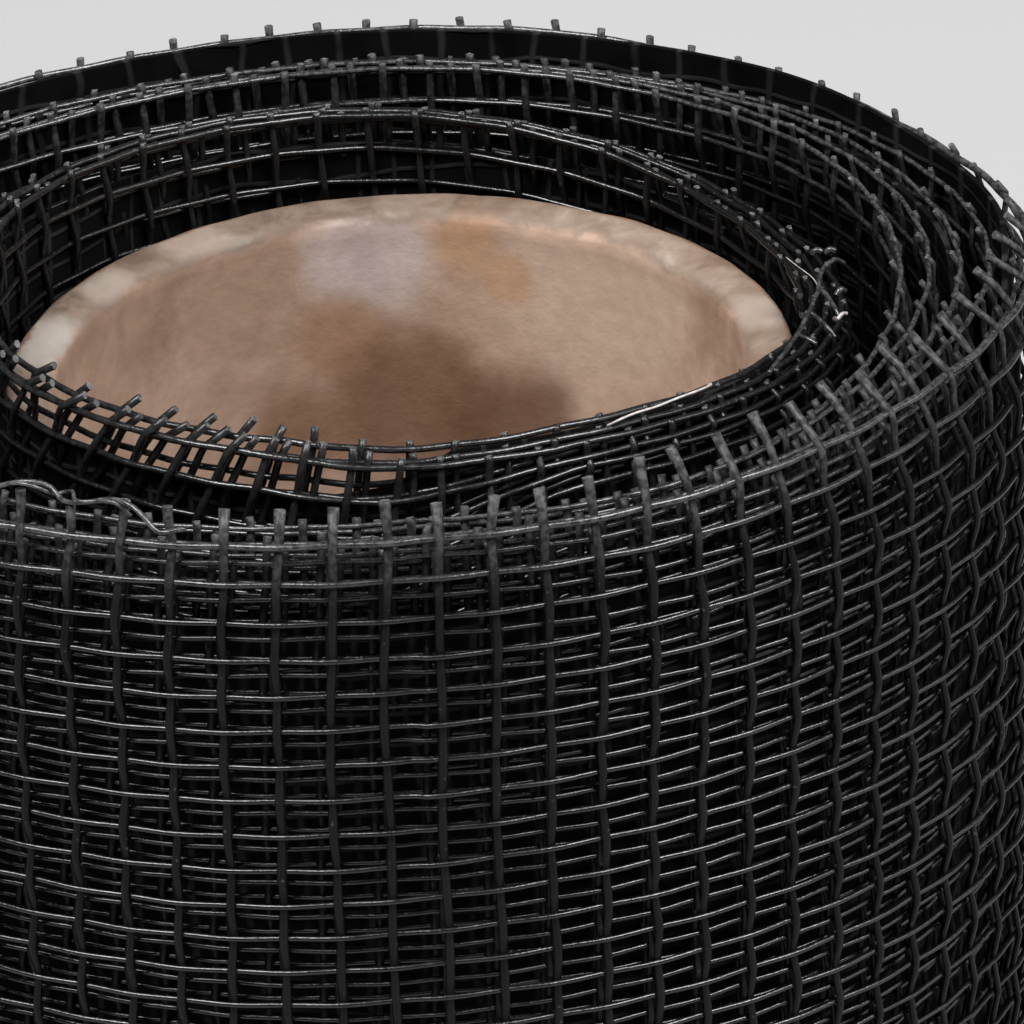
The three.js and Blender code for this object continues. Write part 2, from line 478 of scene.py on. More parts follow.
# How a wire wanders by itself: size, shortest and longest wave
ROW_WANDER = (0.02, 7, 19)
CROSS_WANDER = (0.022, 5, 14)

# Chance in the free ends of the cross wires: in their length, in rows, in how far they lean
# sideways, in columns for each row, and in how far they bend out, as mean and spread
TIP_CHANCE = (-0.14, 0.10)
TILT_SPREAD = 0.08
FLARE = (0.02, 0.07)


def cross_wires(tubes, start, end, detail, radius, tip, slant, curl, spread):
    """Wires that stand along the roll, one at each whole column between start and end. tip, slant
    and curl give a value for a bearing, and spread is how much thicker the tips are."""
    whole = detail.last == ROWS
    bottom = STRIP_WIDTH / ROW_PITCH if whole else detail.last + 0.5
    for column in range(math.ceil(start), math.floor(end) + 1):
        near = faces_camera(column)
        bearing = float(angle_of(column)) % FULL_TURN
        wander = line_wave(*CROSS_WANDER)
        trim = tip(bearing)
        top = trim + rng.uniform(*TIP_CHANCE) * (1 - 0.6 * trim)
        v = stepped(top, bottom, lambda row: detail.steps(row, near))
        free = np.clip(1.0 - v, 0, None)
        tilt = rng.normal(slant(bearing), TILT_SPREAD)
        flare = rng.normal(*FLARE)
        out = CROSS_BOW * np.cos(math.pi * (column + v)) * clamped(0.25 + v)
        out = out + flare * free ** 1.5 - curl(bearing) * free ** 1.3
        centres = weave_point(column + wander(v) + tilt * free, v, out)
        width = radius * (1 + spread * clamped(free) ** 1.5)
        sides = detail.fine_sides if near else detail.fine_sides - 1
        tubes.add(centres, along_strip(column, len(v)), width, sides, CROSS_FLATNESS)


FOOT_ROWS = 4
FOOT_SIDES = 4


def foot_wires(tubes, start, end):
    """The lowest rows of a wrap whose middle can't be seen."""
    top_row = ROWS - FOOT_ROWS + 1
    for row in range(top_row, ROWS + 1):
        u = stepped(start, end, lambda cell: 1)
        centres = running_centres(u, row + row_wander[row](u), row, RUNNING_RADIUS)
        side = np.broadcast_to(UPRIGHT, centres.shape)
        tubes.add(centres, side, RUNNING_RADIUS, FOOT_SIDES, cut=(False, False))
    v = np.append(np.arange(top_row - 0.4, ROWS + 0.4), STRIP_WIDTH / ROW_PITCH)
    for column in range(math.ceil(start), math.floor(end) + 1):
        centres = weave_point(column + 0 * v, v, CROSS_BOW * np.cos(math.pi * (column + v)))
        tubes.add(centres, along_strip(column, len(v)), CROSS_RADIUS, FOOT_SIDES, CROSS_FLATNESS)


# Materials

def new_material(name):
    """A plain material: itself, its node tree and its shader."""
    material = bpy.data.materials.new(name)
    material.use_nodes = True
    net = material.node_tree
    net.nodes.clear()
    output = net.nodes.new("ShaderNodeOutputMaterial")
    shader = net.nodes.new("ShaderNodeBsdfPrincipled")
    net.links.new(shader.outputs["BSDF"], output.inputs["Surface"])
    return material, net, shader


def object_place(net):
    return net.nodes.new("ShaderNodeTexCoord").outputs["Object"]


def split_place(net, where):
    node = net.nodes.new("ShaderNodeSeparateXYZ")
    net.links.new(where, node.inputs[0])
    return node.outputs


def noise(net, where, scale, detail=3.0, roughness=0.55, distortion=0.0):
    node = net.nodes.new("ShaderNodeTexNoise")
    node.inputs["Scale"].default_value = scale
    node.inputs["Detail"].default_value = detail
    node.inputs["Roughness"].default_value = roughness
    node.inputs["Distortion"].default_value = distortion
    net.links.new(where, node.inputs["Vector"])
    return node.outputs["Fac"]


def ramp(net, source, stops):
    node = net.nodes.new("ShaderNodeValToRGB")
    while len(node.color_ramp.elements) < len(stops):
        node.color_ramp.elements.new(0.5)
    for element, (place, colour) in zip(node.color_ramp.elements, stops):
        element.position = place
        element.color = (*colour, 1) if isinstance(colour, tuple) else (colour, colour, colour, 1)
    net.links.new(source, node.inputs["Fac"])
    return node.outputs["Color"]


def range_map(net, source, low, high, new_low, new_high, soft=False):
    node = net.nodes.new("ShaderNodeMapRange")
    node.interpolation_type = "SMOOTHSTEP" if soft else "LINEAR"
    net.links.new(source, node.inputs["Value"])
    limits = {"From Min": low, "From Max": high, "To Min": new_low, "To Max": new_high}
    for name, value in limits.items():
        node.inputs[name].default_value = value
    return node.outputs["Result"]


def blend_colours(net, share, first, second):
    node = net.nodes.new("ShaderNodeMix")
    node.data_type = "RGBA"
    net.links.new(share, node.inputs["Factor"])
    for socket, value in ((node.inputs[6], first), (node.inputs[7], second)):
        if isinstance(value, tuple):
            socket.default_value = (*value, 1)
        else:
            net.links.new(value, socket)
    return node.outputs[2]


def maths(net, kind, first, second):
    node = net.nodes.new("ShaderNodeMath")
    node.operation = kind
    for socket, value in ((node.inputs[0], first), (node.inputs[1], second)):
        if isinstance(value, (int, float)):
            socket.default_value = value
        else:
            net.links.new(value, socket)
    return node.outputs[0]


def vary_roughness(net, shader, source, smoothest, roughest):
    spread = range_map(net, source, 0.3, 0.7, smoothest, roughest)
    net.links.new(spread, shader.inputs["Roughness"])


def bump(net, shader, height, strength, distance):
    node = net.nodes.new("ShaderNodeBump")
    node.inputs["Strength"].default_value = strength
    node.inputs["Distance"].default_value = distance
    net.links.new(height, node.inputs["Height"])
    net.links.new(node.outputs["Normal"], shader.inputs["Normal"])


# The coat is paler from this height up to the rim, more on the outer pack than on the inner one:
# partly wear of the coat, partly painted light for the light that the rim catches
RIM_WEAR_AND_LIGHT_FROM = 96.6
RIM_WEAR_AND_LIGHT_GREY = 0.060
PACK_RIM_WEAR_AND_LIGHT_GREY = 0.014

# Lint on the coat, and the coat's own colour round a pale cut end
LINT = (0.040, 0.039, 0.038)
CUT_COAT = (0.02, 0.02, 0.02)

# The faint wires on the dark shells: how many stand round the roll, and their grey
DEEP_COLUMNS = 62
DEEP_WIRE_GREY = 0.016


def coated_yarn(name, coat_greys, rim_wear_and_light_grey, shine):
    """Glass yarn in a charcoal coat, with small swells where it was heated and a little lint. The
    coat turns a paler, streaky grey towards the rim, partly worn and partly painted light."""
    dark, light = coat_greys
    gloss, roughest, smoothest = shine
    material, net, shader = new_material(name)
    where = object_place(net)
    split = split_place(net, where)
    broad = noise(net, where, scale=260, detail=3)
    fine = noise(net, where, scale=2600, detail=3)
    streaks = noise(net, where, scale=4200, detail=2, roughness=0.5)
    lint = noise(net, where, scale=5200, detail=1, roughness=0.4)
    coat = ramp(net, broad, [
        (0.30, (dark, dark, dark * 1.1)),
        (0.70, (light, light * 0.985, light * 1.04)),
    ])
    # Paler streaks towards the rim: wear and painted light
    near_rim = range_map(net, split["Z"], RIM_WEAR_AND_LIGHT_FROM * MM, STRIP_WIDTH * MM, 0.0, 1.0)
    rim_wear_and_light = maths(net, "MULTIPLY", near_rim, ramp(net, streaks, [(0.40, 0.25), (0.62, 1.0)]))
    coat = blend_colours(net, rim_wear_and_light, coat, (rim_wear_and_light_grey, rim_wear_and_light_grey * 0.98, rim_wear_and_light_grey))
    dusty = ramp(net, lint, [(0.72, 0.0), (0.80, 1.0)])
    shade = blend_colours(net, dusty, coat, LINT)
    net.links.new(shade, shader.inputs["Base Color"])
    vary_roughness(net, shader, fine, smoothest, roughest)
    shader.inputs["Specular IOR Level"].default_value = gloss
    bump(net, shader, noise(net, where, scale=3600, detail=4, roughness=0.6), 0.45, 0.00005)
    return material


def cut_yarn():
    """Cut ends, where the pale glass shows inside the coat."""
    material, net, shader = new_material("cut_yarn")
    where = object_place(net)
    fibres = noise(net, where, scale=9000, detail=2)
    spread = noise(net, where, scale=700, detail=1)
    pale = ramp(net, fibres, [(0.35, CUT_COAT), (0.65, (0.10, 0.098, 0.094))])
    showing = ramp(net, spread, [(0.42, 0.0), (0.60, 1.0)])
    shade = blend_colours(net, showing, CUT_COAT, pale)
    net.links.new(shade, shader.inputs["Base Color"])
    vary_roughness(net, shader, fibres, 0.45, 0.75)
    bump(net, shader, fibres, 0.5, 0.00004)
    return material


def bare_glass_and_highlight():
    """A filament that has lost its coat: pale, silky glass, made paler still as a painted highlight.
    """
    material, net, shader = new_material("bare_glass_and_highlight")
    where = object_place(net)
    strands = noise(net, where, scale=3200, detail=3)
    silk = ramp(net, strands, [(0.3, (0.16, 0.145, 0.14)), (0.7, (0.42, 0.38, 0.37))])
    net.links.new(silk, shader.inputs["Base Color"])
    vary_roughness(net, shader, strands, 0.25, 0.45)
    bump(net, shader, strands, 0.4, 0.00003)
    return material


def faint_lines(net, place, drift):
    """Thin soft lines, one in each unit of place, shifted a little by the drift."""
    shifted = maths(net, "ADD", place, drift)
    within = maths(net, "FRACT", shifted, 0.0)
    return ramp(net, within, [(0.30, 0.0), (0.36, 1.0), (0.44, 1.0), (0.50, 0.0)])


def deep_mesh_painted_shade():
    """The dark inside of the roll, where wraps that can't be told apart show as faint wires: the
    black coat, with the shade deep in the roll painted in as near black.
    """
    material, net, shader = new_material("deep_mesh_painted_shade")
    where = object_place(net)
    split = split_place(net, where)
    grain = noise(net, where, scale=620, detail=2)
    drift = noise(net, where, scale=170, detail=2)
    across = maths(net, "SUBTRACT", split["X"], TUBE_X * MM)
    towards = maths(net, "SUBTRACT", TUBE_Y * MM, split["Y"])
    bearing = maths(net, "ARCTAN2", across, towards)
    row = maths(net, "MULTIPLY", split["Z"], 1 / (ROW_PITCH * MM))
    column = maths(net, "MULTIPLY", bearing, DEEP_COLUMNS / (2 * math.pi))
    rows = faint_lines(net, row, drift)
    columns = faint_lines(net, column, drift)
    wires = maths(net, "MAXIMUM", rows, columns)
    seen = maths(net, "MULTIPLY", wires, ramp(net, grain, [(0.35, 0.35), (0.65, 1.0)]))
    dark = ramp(net, grain, [(0.35, 0.0006), (0.75, 0.0026)])
    wire_colour = (DEEP_WIRE_GREY, DEEP_WIRE_GREY, DEEP_WIRE_GREY * 1.05)
    shade = blend_colours(net, seen, dark, wire_colour)
    net.links.new(shade, shader.inputs["Base Color"])
    vary_roughness(net, shader, grain, 0.75, 0.95)
    shader.inputs["Specular IOR Level"].default_value = 0.06
    bump(net, shader, wires, 0.6, 0.0002)
    return material


def spot(net, where, centre, size, warp):
    """Soft mask round one place, with an edge that a noise makes uneven."""
    away = net.nodes.new("ShaderNodeVectorMath")
    away.operation = "DISTANCE"
    net.links.new(where, away.inputs[0])
    away.inputs[1].default_value = tuple(c * MM for c in centre)
    shift = maths(net, "MULTIPLY", warp, size * MM * 1.1)
    uneven = maths(net, "ADD", away.outputs["Value"], shift)
    return range_map(net, uneven, size * MM * 0.75, size * MM * 1.75, 1.0, 0.0, True)


# Places on the far inside of the tube: x, y, z, size and colour. The first, pale one high in the
# middle is a painted highlight; the rest are brown patches, the darkest of them low down.
WALL_SPOTS_AND_HIGHLIGHT = [
    (0.17, 12.44, 93.8, 1.9, (0.400, 0.335, 0.315)),
    (8.74, 9.93, 93.2, 3.6, (0.400, 0.295, 0.225)),
    (3.89, 12.20, 94.3, 1.0, (0.330, 0.200, 0.115)),
    (5.48, 11.73, 92.9, 0.8, (0.330, 0.195, 0.115)),
    (-0.93, 12.30, 90.7, 1.4, (0.260, 0.145, 0.085)),
    (1.73, 12.48, 87.6, 2.3, (0.120, 0.053, 0.023)),
    (5.60, 11.80, 86.4, 2.2, (0.092, 0.040, 0.017)),
    (-2.60, 12.10, 86.9, 1.6, (0.170, 0.085, 0.044)),
]

# Places on the tube's cut end: x, y, size and colour
END_SPOTS = [
    (-11.30, 3.60, 1.5, (0.300, 0.280, 0.250)),
    (-9.10, 7.85, 0.8, (0.240, 0.205, 0.175)),
    (-6.20, 11.20, 1.0, (0.250, 0.200, 0.165)),
    (14.60, 2.90, 1.2, (0.215, 0.180, 0.150)),
]

# How much the colours of the spots and of the painted highlight cover the board's
WALL_SPOT_AND_HIGHLIGHT_STRENGTH = 0.85
END_SPOT_STRENGTH = 0.8

# Painted light and shade: the board is darker on its left side and lighter on its right, between
# these two places
PAINTED_LIGHT_SIDES = (-14.0, 15.0)


def tinted_by(net, colour, tint):
    node = net.nodes.new("ShaderNodeMix")
    node.data_type = "RGBA"
    node.blend_type = "MULTIPLY"
    node.inputs["Factor"].default_value = 1.0
    net.links.new(colour, node.inputs[6])
    net.links.new(tint, node.inputs[7])
    return node.outputs[2]


def cardboard():
    """Mottled grey-brown board. Its cut end is pale and furred, with brown patches ground into it and
    a rusty line at the outer ply, and the pale part runs unevenly over the edges. Painted light lies
    over it: a highlight high on the far inside, shade towards the top of the tube, and a darker left
    side and a lighter right side."""
    material, net, shader = new_material("cardboard")
    where = object_place(net)
    split = split_place(net, where)
    cloud = noise(net, where, scale=230, detail=5, roughness=0.62, distortion=0.5)
    pulp = noise(net, where, scale=1400, detail=4, roughness=0.65)
    patch = noise(net, where, scale=420, detail=4, roughness=0.62, distortion=0.4)

    wall = ramp(net, cloud, [
        (0.28, (0.205, 0.125, 0.083)), (0.44, (0.275, 0.178, 0.124)),
        (0.56, (0.330, 0.222, 0.162)), (0.72, (0.400, 0.290, 0.225)),
    ])
    warp = maths(net, "SUBTRACT", noise(net, where, scale=380, detail=3), 0.5)
    # Brown patches on the far inside, and one painted highlight
    for x, y, z, size, colour in WALL_SPOTS_AND_HIGHLIGHT:
        mask = spot(net, where, (x, y, z), size, warp)
        share = maths(net, "MULTIPLY", mask, WALL_SPOT_AND_HIGHLIGHT_STRENGTH)
        wall = blend_colours(net, share, wall, colour)

    # Where a point is between the inside and the outside of the tube's wall
    flat = net.nodes.new("ShaderNodeVectorMath")
    flat.operation = "MULTIPLY_ADD"
    net.links.new(where, flat.inputs[0])
    flat.inputs[1].default_value = (1, 1, 0)
    flat.inputs[2].default_value = (-TUBE_X * MM, -TUBE_Y * MM, 0)
    reach = net.nodes.new("ShaderNodeVectorMath")
    reach.operation = "LENGTH"
    net.links.new(flat.outputs[0], reach.inputs[0])
    uneven = maths(net, "MULTIPLY", maths(net, "SUBTRACT", patch, 0.5), 0.0012)
    across = maths(net, "ADD", reach.outputs["Value"], uneven)
    plies = range_map(net, across, TUBE_INNER_RADIUS * MM, TUBE_OUTER_RADIUS * MM, 0.0, 1.0)
    end = ramp(net, patch, [
        (0.34, (0.085, 0.052, 0.033)), (0.46, (0.135, 0.096, 0.070)),
        (0.56, (0.165, 0.126, 0.098)), (0.68, (0.225, 0.190, 0.160)),
    ])
    for x, y, size, colour in END_SPOTS:
        mask = spot(net, where, (x, y, TUBE_TOP), size, warp)
        share = maths(net, "MULTIPLY", mask, END_SPOT_STRENGTH)
        end = blend_colours(net, share, end, colour)
    rust = ramp(net, plies, [(0.84, 0.0), (0.95, 1.0)])
    end = blend_colours(net, maths(net, "MULTIPLY", rust, 0.8), end, (0.110, 0.052, 0.024))

    height = maths(net, "ADD", split["Z"], uneven)
    is_end = range_map(net, height, (TUBE_TOP - 0.55) * MM, (TUBE_TOP - 0.15) * MM, 0.0, 1.0, True)
    shade = blend_colours(net, is_end, wall, end)
    pulp_tint = ramp(net, pulp, [(0.36, (0.93, 0.925, 0.92)), (0.64, 1.04)])
    # Painted shade: the board darkens over the top 1.9 mm of the tube, its cut end included
    painted_lip_shade = range_map(net, split["Z"], (TUBE_TOP - 1.9) * MM, (TUBE_TOP - 0.3) * MM, 0.0, 1.0, True)
    painted_lip_shade_tint = ramp(net, painted_lip_shade, [(0.0, 1.0), (1.0, (0.82, 0.78, 0.76))])
    # Painted light and shade across the tube: darker on the left, lighter on the right
    side = range_map(net, split["X"], PAINTED_LIGHT_SIDES[0] * MM, PAINTED_LIGHT_SIDES[1] * MM, 0.0, 1.0)
    painted_light_tint = ramp(net, side, [
        (0.0, 0.90), (0.24, (0.80, 0.795, 0.79)), (0.48, (0.84, 0.835, 0.83)),
        (0.66, 1.10), (1.0, 1.28),
    ])
    for tint in (pulp_tint, painted_lip_shade_tint, painted_light_tint):
        shade = tinted_by(net, shade, tint)
    net.links.new(shade, shader.inputs["Base Color"])
    vary_roughness(net, shader, pulp, 0.68, 0.92)
    bump(net, shader, pulp, 0.22, 0.00014)
    return material


def pale_floor():
    material, net, shader = new_material("pale_floor")
    where = object_place(net)
    grey = ramp(net, noise(net, where, scale=3, detail=2), [(0.3, 0.275), (0.7, 0.295)])
    net.links.new(grey, shader.inputs["Base Color"])
    shader.inputs["Roughness"].default_value = 0.9
    return material


# Pieces

make_camera()

# Coats, as dark and light grey, and their shine, as gloss, roughest and smoothest
RUNNING_COAT = (0.0020, 0.0042)
RUNNING_SHINE = (0.48, 0.28, 0.13)
CROSS_COAT = (0.0028, 0.0060)
CROSS_SHINE = (0.12, 0.48, 0.30)
PACK_CROSS_SHINE = (0.30, 0.40, 0.24)

running_yarn = coated_yarn("running_yarn", RUNNING_COAT, RIM_WEAR_AND_LIGHT_GREY, RUNNING_SHINE)
cross_yarn = coated_yarn("cross_yarn", CROSS_COAT, RIM_WEAR_AND_LIGHT_GREY, CROSS_SHINE)
pack_running_yarn = coated_yarn("pack_running_yarn", RUNNING_COAT, PACK_RIM_WEAR_AND_LIGHT_GREY, RUNNING_SHINE)
pack_cross_yarn = coated_yarn("pack_cross_yarn", CROSS_COAT, PACK_RIM_WEAR_AND_LIGHT_GREY, PACK_CROSS_SHINE)
yarn_cut = cut_yarn()
dark_inside = deep_mesh_painted_shade()
RUNNING_YARN = [running_yarn, yarn_cut]
CROSS_YARN = [cross_yarn, yarn_cut]
PACK_RUNNING_YARN = [pack_running_yarn, yarn_cut]
PACK_CROSS_YARN = [pack_cross_yarn, yarn_cut]

# What each running wire does by itself: how it wanders, and how far its ends are frayed
row_wander = [line_wave(*ROW_WANDER) for _ in range(ROWS + 3)]
row_free = rng.uniform(0.1, 1.0, ROWS + 3)

COLUMN_FIRST = math.ceil(column_of(INNER_END)) + 1
COLUMN_LAST = math.floor(column_of(OUTER_END)) - 1


def edge_column(angle):
    return round(column_of(angle)) + 0.5


# How finely each wrap is made: sides and steps of its wires
OUTERMOST = Detail(fine=(8, 4), coarse=(5, 1))
SECOND = Detail(fine=(6, 3), coarse=(4, 1))
THIRD = Detail(fine=(5, 2), coarse=(3, 1))
HIDDEN = Detail(fine=(5, 2), coarse=(3, 1), last=8)
GROOVE_SIDE = Detail(fine=(6, 2), coarse=(4, 1), rim_rows=7, last=20)
PACK = Detail(fine=(6, 3), coarse=(4, 1), rim_rows=8, last=8)
PACK_EDGE_WRAP = Detail(fine=(6, 3), coarse=(4, 1), rim_rows=8, last=20)

# Outer pack, from its last wrap inwards: name, first and last winding angle, and detail. None
# stands for a cut end of the strip.
OUTER_WRAPS = [
    ("outer_wrap_1", 3135, None, OUTERMOST),
    ("outer_wrap_2", 2775, 3135, SECOND),
    ("outer_wrap_3", 2415, 2775, THIRD),
    ("outer_wrap_4", 2055, 2415, HIDDEN),
    ("outer_wrap_5", 1695, 2055, HIDDEN),
    ("outer_wrap_6", 1335, 1695, GROOVE_SIDE),
]


def always(value):
    return lambda bearing: value


def special_between(low, high, soft, special, usual=0.0):
    """A value that is special between two bearings and usual away from them."""
    return lambda bearing: mix(usual, special, window(bearing, low, high, soft))


# Rows below the rim at which the cross wires of a wrap are cut off
long_tips = special_between(-80, 86, 14, special=0.0, usual=0.72)
short_tips = always(0.80)
pack_tips = special_between(-85, -14, 14, special=0.50, usual=0.82)

# How the free ends of the cross wires bend: sideways, in columns for each row of their length,
# and inwards, in millimetres
no_bend = always(0.0)
curled_in = special_between(36, 100, 26, special=0.95)
pushed_over = special_between(-72, -32, 16, special=0.50)

# A cut end of the strip: how far its running wires reach past the last column, and by how much
# less some of them do, both in columns
END_REACH = 0.35
FRAYED = 0.3

# How much thicker the first running wires and the tips of the cross wires are than the rest
RIM_SWELL = 0.3
PACK_RIM_SWELL = 0.15
TIP_SPREAD = 0.35
PACK_TIP_SPREAD = 0.05

for name, from_angle, to_angle, detail in OUTER_WRAPS:
    last_wrap = to_angle is None
    start = edge_column(from_angle)
    end = COLUMN_LAST + END_REACH if last_wrap else edge_column(to_angle)
    swell = RIM_SWELL if last_wrap else 0.0
    frayed = (0.0, FRAYED if last_wrap else 0.0)
    tips = long_tips if last_wrap else short_tips
    running = Tubes()
    running_wires(running, start, end, detail, RUNNING_RADIUS, swell, frayed)
    cross = Tubes()
    cross_wires(cross, start, end, detail, CROSS_RADIUS, tips, no_bend, curled_in, TIP_SPREAD)
    if detail.last < ROWS:
        foot_wires(cross, start, end)
    wire_piece(name + "_running", running, RUNNING_YARN)
    wire_piece(name + "_cross", cross, CROSS_YARN)

# Inner pack, from its last wrap inwards
PACK_WRAPS = [
    ("inner_wrap_1", 800, 1335, PACK_EDGE_WRAP),
    ("inner_wrap_2", 440, 800, PACK),
    ("inner_wrap_3", None, 440, PACK),
]

for name, from_angle, to_angle, detail in PACK_WRAPS:
    first_wrap = from_angle is None
    start = COLUMN_FIRST - END_REACH if first_wrap else edge_column(from_angle)
    end = edge_column(to_angle)
    frayed = (FRAYED if first_wrap else 0.0, 0.0)
    running = Tubes()
    running_wires(running, start, end, detail, PACK_RUNNING_RADIUS, PACK_RIM_SWELL, frayed)
    cross = Tubes()
    cross_wires(cross, start, end, detail, PACK_CROSS_RADIUS, pack_tips, pushed_over, no_bend,
                PACK_TIP_SPREAD)
    foot_wires(cross, start, end)
    wire_piece(name + "_running", running, PACK_RUNNING_YARN)
    wire_piece(name + "_cross", cross, PACK_CROSS_YARN)


def ring_faces(count, sides):
    """Faces between count rings of a closed form, the last ring joined to the first."""
    here = np.arange(count * sides).reshape(count, sides)
    beside = np.roll(here, -1, axis=1)
    corners = (here, beside, np.roll(beside, -1, axis=0), np.roll(here, -1, axis=0))
    return np.stack(corners, axis=-1).reshape(-1, 4)


# The dark shells, which stand for wraps deep in the roll and carry painted shade as near black: their
# corners round the roll, the shares of their height at which they have rings, the height of their
# lower end, and how thick they are
SHELL_SIDES = 180
SHELL_LEVELS = [0.0, 0.03, 0.08, 0.3, 0.65, 1.0]
SHELL_FOOT = 6.0
OUTER_SHELL_THICKNESS = 0.2
INNER_SHELL_THICKNESS = 0.12


def dark_shell(name, radius_at, top_depth, lean_at, rise_at, thickness):
    """Closed dark shell that stands for the wraps behind the ones that show, and for the shade among
    them, painted in as near black.
    """
    bearings = np.arange(SHELL_SIDES) * FULL_TURN / SHELL_SIDES
    rings = []
    for out, order in ((thickness / 2, SHELL_LEVELS[::-1]), (-thickness / 2, SHELL_LEVELS)):
        for level in order:
            depth = mix(top_depth(bearings), STRIP_WIDTH - SHELL_FOOT, level)
            radius = radius_at(bearings) + out - lean_at(bearings, depth)
            height = (STRIP_WIDTH - depth) * (1 + rise_at(bearings) / STRIP_WIDTH)
            rings.append(place_at(np.radians(bearings), radius, height))
    faces = ring_faces(len(rings), SHELL_SIDES)
    plain = np.zeros(len(faces))
    piece = mesh_object(name, np.concatenate(rings), [faces], [dark_inside], plain, plain)
    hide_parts("screen_roll")


# The inner pack's shell takes the strip's radius over one turn from this winding angle, laid out
# from this bearing, and it leans in by this share of what the rim does
INNER_SHELL_ANGLE = 340.0
INNER_SHELL_BEARING = 160.0
INNER_SHELL_LEAN = 0.76


def inner_shell_radius(bearings):
    return pack_radius(INNER_SHELL_ANGLE + (bearings - INNER_SHELL_BEARING) % FULL_TURN)


def inner_shell_depth(bearings):
    """It ends lower on the near left, and higher on the near right."""
    depth = mix(2.4, 2.9, window(bearings, 285, 345, 14))
    return depth - 1.2 * window(bearings, 8, 80, 12)


def inner_shell_lean(bearings, depth):
    return pack_lean(bearings, depth) * INNER_SHELL_LEAN


def inner_shell_rise(bearings):
    return winding_at(PACK_RISE, bearings)


def level_rim(bearings):
    return np.zeros(len(bearings))


def outer_shell_radius(usual, far_side):
    """Place in the outer pack, as a share of the way from its first wrap to its last."""
    share_at = special_between(95, 270, 35, special=far_side, usual=usual)

    def radius_at(bearings):
        first = winding_at(LOOSE_EDGE, bearings)
        return mix(first, winding_at(OUTER_EDGE, bearings), share_at(bearings))

    return radius_at


# On the near side, the outer pack's shells end this far below the rim
NEAR_SHELL_DEPTH = 4.6


def outer_shell_depth(sides, back):
    def top_depth(bearings):
        behind = mix(sides, back, window(bearings, 135, 240, 30))
        return mix(behind, NEAR_SHELL_DEPTH, window(bearings, -80, 78, 14))

    return top_depth


# Painted shade: near-black shells in the outer and inner packs, among the real wraps
dark_shell("outer_pack_outside", outer_shell_radius(usual=0.44, far_side=0.84),
           outer_shell_depth(sides=0.55, back=0.1), rim_lean, level_rim, OUTER_SHELL_THICKNESS)
dark_shell("outer_pack_middle", outer_shell_radius(usual=0.30, far_side=0.44),
           outer_shell_depth(sides=1.5, back=1.5), rim_lean, level_rim, OUTER_SHELL_THICKNESS)
dark_shell("inner_pack_inside", inner_shell_radius, inner_shell_depth,
           inner_shell_lean, inner_shell_rise, INNER_SHELL_THICKNESS)


# Loose threads: each has a wire radius, the size of its wobble, and the points it runs through,
# as bearing, radius and height
BENT_ENDS = [
    (0.085, 0.02, [
        (57, 15.0, 98.6), (62, 14.9, 98.65), (67.9, 14.83, 98.7), (73.4, 14.92, 98.9),
        (78.3, 14.94, 99.0), (80.5, 14.95, 99.1), (84.2, 15.11, 99.2), (86.5, 15.46, 99.2),
        (87.5, 15.8, 98.9),
    ]),
    (0.075, 0.03, [
        (79.6, 14.95, 99.0), (78.0, 15.3, 98.9), (76.2, 15.62, 98.8), (75.0, 15.9, 98.5),
    ]),
    (0.075, 0.03, [
        (73.0, 14.92, 98.85), (72.5, 15.18, 98.8), (71.1, 15.70, 98.7), (70.5, 16.0, 98.4),
    ]),
    (0.075, 0.03, [(67.5, 14.90, 98.7), (67.0, 15.3, 98.7), (66.7, 15.62, 98.6)]),
    (0.120, 0.02, [(91.4, 14.70, 98.8), (91.4, 14.86, 98.95), (91.3, 15.05, 98.9)]),
    (0.120, 0.02, [(91.6, 15.20, 98.8), (91.5, 15.36, 98.95), (91.3, 15.55, 98.9)]),
    (0.110, 0.02, [(79.0, 15.60, 98.8), (79.5, 15.74, 98.95), (80.0, 15.88, 98.8)]),
    (0.090, 0.12, [
        (316, 21.4, 99.5), (318, 21.3, 99.9), (321, 21.0, 100.2), (324, 20.5, 100.2),
        (327, 20.5, 100.0), (331, 20.3, 100.2), (335, 20.5, 99.8), (339, 20.2, 99.5),
    ]),
    (0.070, 0.15, [
        (319, 20.6, 99.8), (323, 20.9, 100.3), (326, 20.2, 100.1), (330, 20.7, 100.2),
        (333, 20.1, 99.9),
    ]),
]
# Filaments of bare glass, their pale colour partly a painted highlight
PALE_FILAMENTS = [
    (0.020, 0.01, [
        (92.6, 13.83, 98.6), (88.0, 14.23, 98.7), (83.4, 14.73, 98.8), (80.5, 14.95, 98.8),
    ]),
    (0.045, 0.02, [
        (28.0, 14.40, 99.3), (29.5, 14.81, 99.6), (33.7, 14.98, 99.7), (38.1, 15.14, 99.8),
        (43.2, 15.12, 99.7), (45.0, 14.7, 99.4),
    ]),
    (0.070, 0.02, [(73.6, 15.85, 98.6), (74.2, 15.98, 98.75), (74.8, 16.1, 98.7)]),
]
THREAD_STEPS = 8
THREAD_SIDES = 8


def spline(points, steps):
    """Smooth curve through points."""
    padded = np.vstack((2 * points[0] - points[1], points, 2 * points[-1] - points[-2]))
    out = []
    for i in range(1, len(padded) - 2):
        a, b, c, d = padded[i - 1:i + 3]
        for t in np.arange(steps) / steps:
            square = (2 * a - 5 * b + 4 * c - d) * t ** 2
            cube = (3 * b - a - 3 * c + d) * t ** 3
            out.append(0.5 * (2 * b + (c - a) * t + square + cube))
    out.append(padded[-2])
    return np.array(out)


